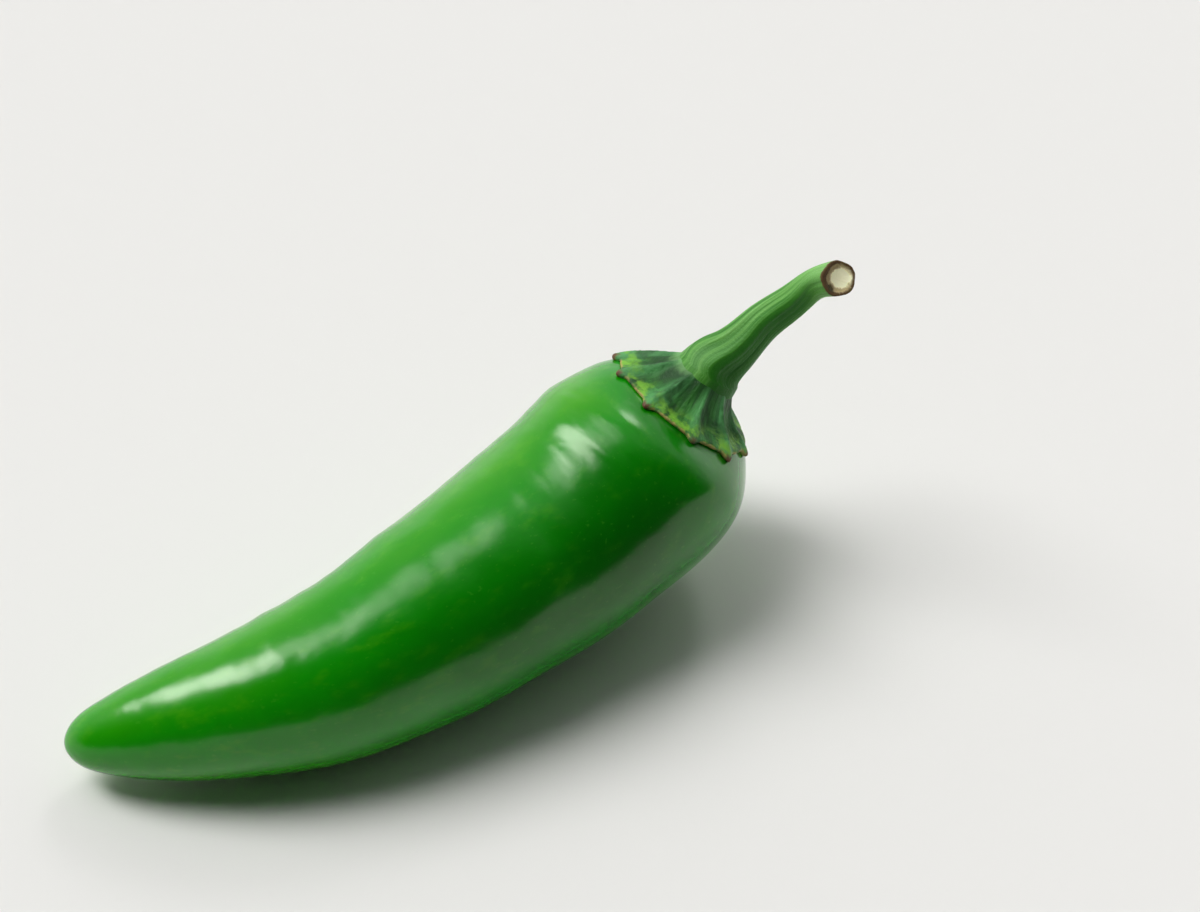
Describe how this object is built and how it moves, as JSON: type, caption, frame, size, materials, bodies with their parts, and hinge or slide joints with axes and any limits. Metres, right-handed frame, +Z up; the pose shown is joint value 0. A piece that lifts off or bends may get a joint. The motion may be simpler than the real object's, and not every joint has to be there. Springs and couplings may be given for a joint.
{
  "type": "chilli pepper",
  "caption": "Green jalapeno-type chilli pepper as picked, with its curved pod, toothed calyx and ridged cut stem, lying on its side.",
  "frame": {"origin": "middle of the footprint, on the surface that the pod lies on", "axes": "+X from the pod's tip towards the stem, +Z up, and the stem's cut end leans towards -Y"},
  "size_m": [0.1124, 0.0346, 0.0488],
  "materials": {
    "pod": "smooth waxy skin with a clear gloss",
    "calyx": "wrinkled leaf tissue with a soft sheen, brown on its teeth",
    "stem": "ridged green stem with a soft sheen, brown and cream on its cut"
  },
  "bodies": {
    "root": {"pod": "pod", "calyx": "calyx", "stem": "stem"}
  },
  "joints": []
}
